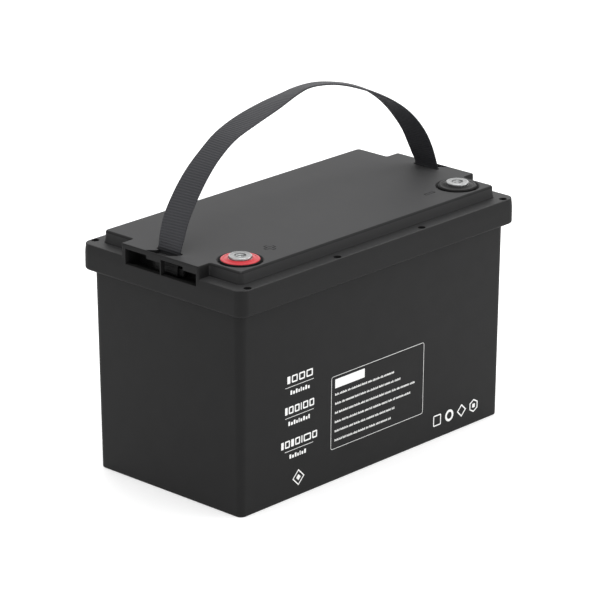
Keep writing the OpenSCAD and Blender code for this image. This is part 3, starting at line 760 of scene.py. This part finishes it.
def build_terminal(sign, tag, node):
    """Insert with a plain skirt, a turned groove, a dished face and a threaded M8 bore."""
    x, y = sign * TERM_X, TERM_Y
    top, r = DISC_Z, DISC_R
    profile = [(6.0, TERMINAL_Z0), (6.0, RECESS_Z), (r - 0.2, RECESS_Z), (r, RECESS_Z + 0.2),
               (r, top - 2.6), (r - 0.35, top - 2.35), (r - 0.35, top - 1.95), (r, top - 1.7),
               (r, top - 0.95)]
    profile += arc(r - 0.95, top - 0.95, 0.95, 0, 90, 5)[1:]
    profile += [(7.4, top), (7.1, top - 0.12), (5.6, top - 0.12), (5.3, top - 0.05),
                (4.75, top - 0.05), (4.05, top - 0.75)]
    z = top - 0.9
    while z > top - 14.5:
        profile += [(THREAD_R, z), (BORE_R + 0.03, z - 0.55), (BORE_R + 0.03, z - 0.7),
                    (THREAD_R, z - THREAD_PITCH)]
        z -= THREAD_PITCH
    profile += [(BORE_R, z - 0.1), (BORE_R, top - 16.0), (0.0, top - 16.6), (0.0, TERMINAL_Z0)]
    mat = turned_metal("turned_" + tag, TERMINAL_GREY, (x * MM, y * MM, 0.0))
    obj = lathe(profile, x, y, "terminal_" + tag, mat, steps=80, smooth=28)
    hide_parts(node)


def build_collar(sign, tag, node, mat):
    """Black seat in the recess, and a coloured cap on it; under the red cap the black seat is
    painted shade on the collar's side.
    """
    x, y = sign * TERM_X, TERM_Y
    r, top, z0 = COLLAR_R, COLLAR_Z, RECESS_Z
    inner, cap_r, joint = DISC_R + 0.1, COLLAR_R - 0.5, COLLAR_Z - 0.55
    profile = [(inner, z0), (r - 0.2, z0), (r, z0 + 0.2), (r, joint - 0.3), (r - 0.3, joint),
               (inner, joint)]
    # under the red cap this black seat is painted shade on the collar's side; under the black cap
    # it is the collar's own black
    seat = lathe(profile, x, y, "collar_seat_" + tag, collar_black_mat, steps=96, smooth=28)
    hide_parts(node)
    # the cap rises in a low cone to a lip round the terminal disc
    profile = [(inner, joint), (cap_r - 0.15, joint), (cap_r, joint + 0.15)]
    profile += arc(cap_r - 0.4, top - 0.4, 0.4, 0, 75, 4)
    profile += [(r - 2.4, top + 0.1), (r - 2.7, top - 0.1), (inner + 1.6, top + 0.35),
                (inner + 1.2, top + 0.65), (inner + 0.3, top + 0.8), (inner, top + 0.6)]
    cap = lathe(profile, x, y, "collar_" + tag, mat, steps=96, smooth=28)
    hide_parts(node)


build_terminal(-1, "positive", "positive_insert")
build_terminal(1, "negative", "negative_insert")
build_collar(-1, "positive", "positive_collar", red_mat)
build_collar(1, "negative", "negative_collar", collar_black_mat)


# ---------------------------------------------------------------- lid screws
SCREW_PITCH = 1.25


def build_screws():
    """Eight sunk screws with cross recesses, as one piece."""
    made = []
    z = SCREW_SEAT_Z
    profile = [(0.0, z - 16), (0.5, z - 15.4)]
    turn_z = z - 15.0
    while turn_z < z - 1.0:
        profile += [(1.1, turn_z), (1.45, turn_z + 0.5), (1.1, turn_z + 1.0)]
        turn_z += SCREW_PITCH
    profile += [(1.1, z), (2.9, z), (2.9, z + 0.9)]
    profile += arc(1.7, z + 0.9, 1.2, 0, 80, 4)[1:] + [(0.0, z + 2.12)]
    for x, y in SCREW_SPOTS:
        head = lathe(profile, x, y, "screw", screw_mat, None, steps=28)
        drive = []
        for turn in (0, 90):
            # the recesses were left at different angles: one for each quarter of the lid
            a = math.radians(turn + 37 * (x > 0) + 21 * (y > 0))
            arm = flat_box("cutter", -1.65, 1.65, -0.4, 0.4, z + 0.9, z + 4)
            arm.data.transform(Matrix.Translation((x * MM, y * MM, 0)) @ Matrix.Rotation(a, 4, "Z"))
            drive.append(arm)
        cut(head, drive)
        made.append(head)
    obj = joined("lid_screws_made", made, screw_mat)
    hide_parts("lid_screws")


build_screws()

# ---------------------------------------------------------------- webbing strap
# upper surface of the arch, from the +X slot to the -X one: x and z of the -Y selvedge, then of
# the +Y one. The webbing carries a slight twist: the -Y selvedge stands higher at the crown.
ARCH = [
    (151.0, 215.5, 149.0, 215.5), (146.5, 226.5, 143.0, 226.5), (139.5, 239.0, 136.0, 239.0),
    (129.0, 252.0, 126.0, 252.0), (116.0, 264.0, 114.5, 264.5), (101.0, 274.5, 101.5, 275.5),
    (83.0, 284.5, 85.5, 285.5), (63.0, 293.5, 66.0, 293.5), (41.0, 302.0, 44.0, 299.5),
    (20.0, 307.5, 24.0, 303.0), (-2.0, 310.0, 3.0, 303.5), (-18.0, 307.5, -16.0, 301.5),
    (-41.0, 300.0, -38.0, 299.0), (-66.0, 293.0, -66.0, 293.5), (-90.0, 285.5, -89.0, 285.5),
    (-108.0, 274.5, -106.5, 274.5), (-121.0, 262.5, -122.0, 262.5), (-133.0, 247.5, -135.5, 248.0),
    (-143.5, 231.0, -147.0, 231.0), (-150.0, 216.5, -152.0, 216.5),
]
# a turn of webbing round the retainer bar, from the stitched end: x from the slot, and z
BAR_LOOP = [
    (-3.3, 199.0), (-3.4, 195.0), (-3.4, 188.0), (-2.3, 186.4), (0.0, 186.1), (2.3, 186.4),
    (3.4, 188.0), (3.4, 192.5), (2.4, 195.4), (0.6, 197.8), (0.0, 200.5), (0.0, 204.5),
    (-0.4, 208.0),
]
SELVEDGE = 2.0
# points across the webbing, and rings of points along each rib
COLS, RINGS_PER_RIB = 22, 6
# height at which the webbing starts to sink below the given curve, and over which it does so
SINK_Z, SINK_OVER = 206.0, 8.0


def catmull(points, steps):
    """Smooth curve through points."""
    out = []
    n = len(points)
    for i in range(n - 1):
        p0, p1, p2, p3 = (Vector(points[max(0, min(n - 1, i + k))]) for k in (-1, 0, 1, 2))
        for k in range(steps):
            t = k / steps
            out.append(0.5 * (2 * p1 + (p2 - p0) * t + (2 * p0 - 5 * p1 + 4 * p2 - p3) * t * t
                              + (3 * p1 - p0 - 3 * p2 + p3) * t ** 3))
    out.append(Vector(points[-1]))
    return out


def resample(points, pitch):
    """Points at an even pitch along a polyline, ends kept."""
    total = [0.0]
    for a, b in zip(points, points[1:]):
        total.append(total[-1] + 0.5 * ((b - a).xy.length + (b - a).zw.length))
    count = max(2, round(total[-1] / pitch))
    out, i = [], 0
    for k in range(count + 1):
        s = total[-1] * k / count
        while i < len(points) - 2 and total[i + 1] < s:
            i += 1
        step = max(1e-9, total[i + 1] - total[i])
        out.append(points[i].lerp(points[i + 1], (s - total[i]) / step))
    return out, total[-1]


def strip_section(rib):
    """Cross-section of the webbing as (y, height): flat bound selvedges, rounded edges; rib is 1 on
    a rib's crown and 0 between two."""
    half_t = WEB_T / 2
    ring = []
    for k in range(COLS + 1):
        y = -WEB_HALF + 0.5 + (2 * WEB_HALF - 1.0) * k / COLS
        edge = min(1.0, (WEB_HALF - 0.5 - abs(y)) / 1.2)
        h = half_t - RIB_DEPTH * (1 - rib) * (0.35 + 0.65 * edge)
        if abs(y) > WEB_HALF - SELVEDGE:
            h -= 0.12
        ring.append((y, h))
    crown = [(WEB_HALF - 0.12, 0.42), (WEB_HALF, 0.0), (WEB_HALF - 0.12, -0.42)]
    return ring + crown + [(y, -h) for y, h in reversed(ring)] + [(-y, -h) for y, h in crown]


def build_strap():
    """From the stitched end in one tab, round the bar, up through the slot and over."""
    right = [(STRAP_X + dx, z, STRAP_X + dx, z) for dx, z in BAR_LOOP]
    left = [(-x, z, -x, z) for x, z, _, _ in reversed(right)]
    lines = catmull(right + ARCH + left, 10)
    points, total = resample(lines, RIB_PITCH / RINGS_PER_RIB)
    verts, uvs = [], []
    n = len(points)
    for i, p in enumerate(points):
        a, b = points[max(0, i - 1)], points[min(n - 1, i + 1)]
        s = total * i / (n - 1)
        rib = 0.5 + 0.5 * math.cos(2 * math.pi * s / RIB_PITCH)
        # the arch was given by its upper surface: sink the middle by half the thickness
        middle_z = 0.5 * (p[1] + p[3])
        sink = WEB_T / 2 * min(1.0, max(0.0, (middle_z - SINK_Z) / SINK_OVER))
        tangent = Vector((b[0] + b[2] - a[0] - a[2], 0.0, b[1] + b[3] - a[1] - a[3])).normalized()
        width = Vector((p[2] - p[0], 2 * WEB_HALF, p[3] - p[1])).normalized()
        normal = width.cross(tangent).normalized()
        if normal.dot(Vector((-tangent.z, 0.0, tangent.x))) < 0:
            normal = -normal
        centre = Vector((0.5 * (p[0] + p[2]), 0.0, middle_z)) + normal * sink
        for y, h in strip_section(rib):
            verts.append((centre + width * y + normal * h) * MM)
            uvs.append((y, s))
    count = len(verts) // n
    faces = []
    for i in range(n - 1):
        for k in range(count):
            a, b = i * count + k, i * count + (k + 1) % count
            faces.append((a, b, b + count, a + count))
    faces.append(tuple(range(count)))
    faces.append(tuple(reversed(range((n - 1) * count, n * count))))
    obj = make("strap_webbing", verts, faces, web_mat, None, 60, uvs)
    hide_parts("strap_arch", "strap_flex", "strap_loops")
    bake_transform(obj)


build_strap()

# ---------------------------------------------------------------- printed block
# thickness of the ink, and how far the whole block is moved on the side
INK = 0.12
PRINT_X, PRINT_Z = 3.6, -1.8


def side_plane(x, z, lift):
    """Point on the leaning long side, lift millimetres off it."""
    x, z = x + PRINT_X, z + PRINT_Z
    return (x * MM, -(BASE_W + DRAFT * z / RIM_Z + lift) * MM, z * MM)


def ink_shape(polys):
    """Verts and faces of thin raised ink. polys: (outline, inner outline or None) in x and z."""
    verts, faces = [], []
    for outer, inner in polys:
        n = len(outer)
        base = len(verts)
        if inner is None:
            verts += [side_plane(x, z, lift) for lift in (-0.03, INK) for x, z in outer]
            faces.append(tuple(base + k for k in reversed(range(n))))
            faces.append(tuple(base + n + k for k in range(n)))
            for k in range(n):
                m = (k + 1) % n
                faces.append((base + k, base + m, base + n + m, base + n + k))
        else:
            for lift in (-0.03, INK):
                verts += [side_plane(x, z, lift) for x, z in outer]
                verts += [side_plane(x, z, lift) for x, z in inner]
            o0, i0, o1, i1 = base, base + n, base + 2 * n, base + 3 * n
            for k in range(n):
                m = (k + 1) % n
                faces += [(o1 + k, o1 + m, i1 + m, i1 + k), (o0 + m, o0 + k, i0 + k, i0 + m),
                          (o0 + k, o0 + m, o1 + m, o1 + k), (i0 + m, i0 + k, i1 + k, i1 + m)]
    return verts, faces


def plate(x0, x1, z0, z1, r):
    """Outline of a rounded rectangle."""
    pts = []
    r = min(r, (x1 - x0) / 2.01, (z1 - z0) / 2.01)
    for cx, cz, start in ((x1 - r, z0 + r, -90), (x1 - r, z1 - r, 0), (x0 + r, z1 - r, 90),
                          (x0 + r, z0 + r, 180)):
        for k in range(5):
            a = math.radians(start + 22.5 * k)
            pts.append((cx + r * math.cos(a), cz + r * math.sin(a)))
    return pts


def ngon(cx, cz, r, sides, turn=0.0):
    return [(cx + r * math.cos(math.radians(turn + 360 * k / sides)),
             cz + r * math.sin(math.radians(turn + 360 * k / sides))) for k in range(sides)]


def words(x0, x1, z0, z1, lengths, pitch=1.35):
    """A line of greeked words: runs of small plain blocks, none of them a letter."""
    out, x, k, count = [], x0, 0, 0
    tall = z1 - z0
    while x < x1 - pitch:
        end = min(x1, x + lengths[k % len(lengths)])
        while x < end - 0.5 * pitch:
            drop = (0.0, 0.25, 0.1, 0.3, 0.0, 0.2)[(3 * count + k) % 6] * tall
            wide = (0.62, 0.5, 0.66, 0.36, 0.6)[(2 * count + k) % 5] * pitch
            out.append((plate(x, x + wide, z0, z1 - drop, 0.22 * wide), None))
            x += wide + 0.36 * pitch
            count += 1
        x += 0.55 * pitch
        k += 1
    return out


def big_words(x0, x1, z0, z1, widths):
    """Bold greeked figures: rounded blocks of the given widths, shared out over the line; a
    negative width is a filled block, a positive one is hollow."""
    out, x = [], x0
    gap, stroke = 0.28, 1.15
    unit = (x1 - x0) / (sum(abs(w) for w in widths) + gap * (len(widths) - 1))
    for w in widths:
        wide = abs(w) * unit
        if w > 0:
            out.append((plate(x, x + wide, z0, z1, 0.8),
                        plate(x + stroke, x + wide - stroke, z0 + stroke, z1 - stroke, 0.3)))
        else:
            out.append((plate(x, x + wide, z0, z1, 0.35), None))
        x += wide + gap * unit
    return out


def build_print():
    """Greeked stand-ins for the printing: nothing here can be read."""
    shapes = []
    # frame and title bar
    x0, x1, z0, z1, r, w = -56.8, 55.8, 29.8, 93.1, 2.2, 0.34
    shapes.append((plate(x0, x1, z0, z1, r), plate(x0 + w, x1 - w, z0 + w, z1 - w, r - w)))
    shapes.append((plate(-52.3, -17.1, 82.4, 90.1, 0.2), None))
    # note lines: where each one ends, and the lengths of its words
    notes = ((19.0, (5, 9, 3.5, 12, 6)), (27.6, (7, 4, 10, 6.5)), (46.8, (4, 11, 6, 8, 5.5)),
             (41.0, (8, 5, 3, 9.5)), (20.0, (6, 10, 4.5, 7.5)), (17.4, (9, 4, 7, 5)))
    for k, (end, lengths) in enumerate(notes):
        z = 76.0 - 7.95 * k
        shapes += words(-52.1, end, z, z + 1.9, lengths)
    # rating rows: bold blocks, a rule, a smaller word
    for z, left, right, blocks in ((98.5, -108.5, -79.1, (-0.5, 1, 1, 1.1)),
                                   (72.4, -110.8, -77.1, (-0.5, 1, 1, -0.2, 1.1, 1)),
                                   (43.7, -115.0, -73.2, (-0.5, 1, -0.55, 1, -0.2, 1.5, 1))):
        shapes += big_words(left, right, z + 3.1, z + 9.3, blocks)
        shapes.append((plate(-110.8, -77.6, z - 0.2, z + 0.15, 0.1), None))
    for z, left, right in ((98.5, -104.8, -82.4), (72.4, -106.9, -80.9), (43.7, -105.3, -84.3)):
        shapes += words(left, right, z - 6.9, z - 3.3, (40,), 3.1)
    # generic symbols: square, ring, lozenge, hexagon
    z = 18.2
    shapes.append((plate(69.6, 79.4, z - 4.9, z + 4.9, 1.2),
                   plate(70.6, 78.4, z - 3.9, z + 3.9, 0.4)))
    shapes.append((ngon(90.0, z, 5.2, 32), ngon(90.0, z, 3.1, 32)))
    shapes.append((ngon(105.6, z, 5.8, 4, 90), ngon(105.6, z, 4.3, 4, 90)))
    shapes.append((ngon(121.2, z, 5.9, 6, 30), ngon(121.2, z, 4.7, 6, 30)))
    shapes.append((plate(119.5, 122.9, z - 1.7, z + 1.7, 0.5), None))
    # plain mark under the rating rows
    shapes.append((ngon(-94.6, 17.9, 7.0, 4, 90), ngon(-94.6, 17.9, 5.7, 4, 90)))
    shapes.append((ngon(-94.6, 17.9, 2.6, 4, 90), None))
    verts, faces = ink_shape(shapes)
    obj = make("side_printing", verts, faces, ink, smooth=20)
    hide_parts("side_print")


build_print()

# ---------------------------------------------------------------- pieces that stay as in the CAD
dark_foam = foam_mat("closed_cell_foam", (0.03, 0.03, 0.032))
cell_film = plastic("cell_film", (0.02, 0.10, 0.38), rough=0.3, grain=700, patch=0.12)
glass_epoxy = plastic("glass_epoxy", (0.36, 0.40, 0.13), rough=0.45, grain=1500, patch=0.2)
bright_metal = metal("zinc_plate", (0.62, 0.62, 0.6), rough=0.32)
post_metal = metal("post_aluminium", (0.75, 0.75, 0.76), rough=0.28)
copper = metal("bare_copper", (0.72, 0.36, 0.2), rough=0.3, patch=0.14)
sink_metal = metal("extruded_aluminium", (0.55, 0.56, 0.58), rough=0.42)
band_metal = metal("bright_band", (0.6, 0.61, 0.62), rough=0.25)
tinned = metal("tinned_copper", (0.7, 0.7, 0.67), rough=0.3)
tray_mat = plastic("tray_plastic", (0.62, 0.62, 0.58), rough=0.4, grain=900)
mask_green = plastic("solder_mask", (0.012, 0.13, 0.05), rough=0.25, grain=500, patch=0.25)
chip_mat = plastic("chip_epoxy", (0.02, 0.02, 0.021), rough=0.55, grain=1800, patch=0.2)
cable_mat = plastic("silicone_cable", (0.02, 0.02, 0.021), rough=0.6, grain=1200, patch=0.15)
plug_mat = plastic("nylon_plug", (0.75, 0.72, 0.62), rough=0.4, grain=900)
wire_mat = plastic("wire_pvc", (0.45, 0.025, 0.02), rough=0.35, grain=900)
seal_mat = plastic("seal_rubber", (0.025, 0.025, 0.025), rough=0.7, grain=1500)
bar_mat = plastic("bar_plastic", (0.008, 0.008, 0.008), rough=0.6, spec=0.1)

KEPT = {
    "lid_gasket": seal_mat, "terminal_nuts": bright_metal, "strap_bars": bar_mat,
    "base_pad": dark_foam, "side_pads": dark_foam, "end_pad": dark_foam, "filler_block": dark_foam,
    "hold_down_pads": dark_foam, "cell_1": cell_film, "cell_2": cell_film, "cell_3": cell_film,
    "cell_4": cell_film, "cell_posts": post_metal, "cell_spacers": glass_epoxy,
    "end_plates": glass_epoxy, "pack_bands": band_metal, "busbars": copper, "positive_link": copper,
    "busbar_nuts": bright_metal, "cover_tray": tray_mat, "bms_board": mask_green,
    "bms_heatsink": sink_metal, "bms_components": chip_mat, "bms_standoffs": bright_metal,
    "bms_posts": post_metal, "bms_nuts": bright_metal, "bms_lead": cable_mat,
    "negative_lead": cable_mat, "lead_lugs": tinned, "balance_plug": plug_mat,
    "balance_harness": wire_mat, "thermistor": chip_mat,
}
# edge rounding of each node, in millimetres
BEVELS = {
    "terminal_nuts": 0.4, "busbar_nuts": 0.3, "bms_nuts": 0.3, "busbars": 0.3, "positive_link": 0.3,
    "cell_posts": 0.3, "cover_tray": 0.5, "bms_heatsink": 0.3, "bms_components": 0.3,
    "balance_plug": 0.4, "strap_bars": 0.7, "base_pad": 0.8, "side_pads": 0.8, "end_pad": 0.6,
    "filler_block": 1.5, "hold_down_pads": 1.5, "end_plates": 0.4, "bms_board": 0.2,
    "cell_spacers": 0.2, "lead_lugs": 0.3,
}
for node, mat in KEPT.items():
    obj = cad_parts[node]
    obj.data.materials.clear()
    obj.data.materials.append(mat)
    for polygon in obj.data.polygons:
        polygon.material_index = 0
    if node in BEVELS:
        weld = obj.modifiers.new("weld", "WELD")
        weld.merge_threshold = 1e-6
        bevel = obj.modifiers.new("bevel", "BEVEL")
        bevel.width = BEVELS[node] * MM
        bevel.segments = 2
        bevel.limit_method = "ANGLE"
        bevel.angle_limit = math.radians(50)

# ---------------------------------------------------------------- camera, floor and light
def direction(azimuth, elevation):
    """Unit vector from the object: azimuth in degrees from the front (-Y) towards +X."""
    a, e = math.radians(azimuth), math.radians(elevation)
    return Vector((math.sin(a) * math.cos(e), -math.cos(a) * math.cos(e), math.sin(e)))


def look_from(obj, target, away, distance):
    """Put obj at a distance from target, facing it."""
    obj.location = target + away * distance
    obj.rotation_mode = "QUATERNION"
    obj.rotation_quaternion = (-away).to_track_quat("-Z", "Y")


AZIMUTH, ELEVATION, DISTANCE = -46.823, 19.629, 2.9927
AIM = Vector((0.0270, 0.0283, 0.1097))
camera = bpy.data.objects.new("camera", bpy.data.cameras.new("camera"))
scene.collection.objects.link(camera)
look_from(camera, AIM, direction(AZIMUTH, ELEVATION), DISTANCE)
camera.data.sensor_width = 36.0
camera.data.lens = 214.8
camera.data.clip_start, camera.data.clip_end = 0.05, 50.0
scene.camera = camera

floor_mat = Nodes("floor")
for key, value in (("Base Color", (0.8, 0.8, 0.8, 1.0)), ("Roughness", 0.9),
                   ("Emission Color", (1.0, 1.0, 1.0, 1.0)), ("Emission Strength", 0.3),
                   ("Specular IOR Level", 0.1)):
    floor_mat.bsdf.inputs[key].default_value = value
# half width of the floor in metres
FLOOR = 12.0
corners = [(-FLOOR, -FLOOR, 0), (FLOOR, -FLOOR, 0), (FLOOR, FLOOR, 0), (-FLOOR, FLOOR, 0)]
floor = make("floor", corners, [(0, 1, 2, 3)], floor_mat.mat, None)

# soft studio: a pale room that brightens towards the ceiling
SKY_LOW, SKY_HIGH, SKY_DIM, SKY_BRIGHT = 0.2, 1.0, 0.68, 1.55
world = bpy.data.worlds.new("world")
scene.world = world
world.use_nodes = True
sky = world.node_tree
sky_dir = sky.nodes.new("ShaderNodeTexCoord")
sky_split = sky.nodes.new("ShaderNodeSeparateXYZ")
sky.links.new(sky_dir.outputs["Generated"], sky_split.inputs[0])
sky_level = sky.nodes.new("ShaderNodeMapRange")
sky_level.interpolation_type = "SMOOTHSTEP"
for key, value in (("From Min", SKY_LOW), ("From Max", SKY_HIGH), ("To Min", SKY_DIM),
                   ("To Max", SKY_BRIGHT)):
    sky_level.inputs[key].default_value = value
sky.links.new(sky_split.outputs[2], sky_level.inputs["Value"])
sky.links.new(sky_level.outputs["Result"], sky.nodes["Background"].inputs["Strength"])
sky.nodes["Background"].inputs["Color"].default_value = (1.0, 1.0, 1.0, 1.0)

LIGHT_TARGET = Vector((0.0, 0.0, 0.13))


def area_light(name, azimuth, elevation, distance, size, power):
    """Round soft light facing the object; sizes in metres, power in watts."""
    light = bpy.data.objects.new(name, bpy.data.lights.new(name, "AREA"))
    light.data.shape = "DISK"
    light.data.size = size
    light.data.energy = power
    scene.collection.objects.link(light)
    look_from(light, LIGHT_TARGET, direction(azimuth, elevation), distance)


area_light("back_softbox", 133.0, 25.0, 2.2, 2.6, 20.0)
area_light("overhead", 20.0, 80.0, 1.8, 1.2, 4.0)
area_light("front_fill", 42.0, 20.0, 2.4, 1.2, 10.0)
area_light("edge_light", 64.0, 40.0, 2.2, 0.5, 2.0)
area_light("corner_glint", -43.0, 70.0, 2.0, 0.15, 1.5)

scene.view_settings.view_transform = "Standard"
scene.view_settings.look = "None"
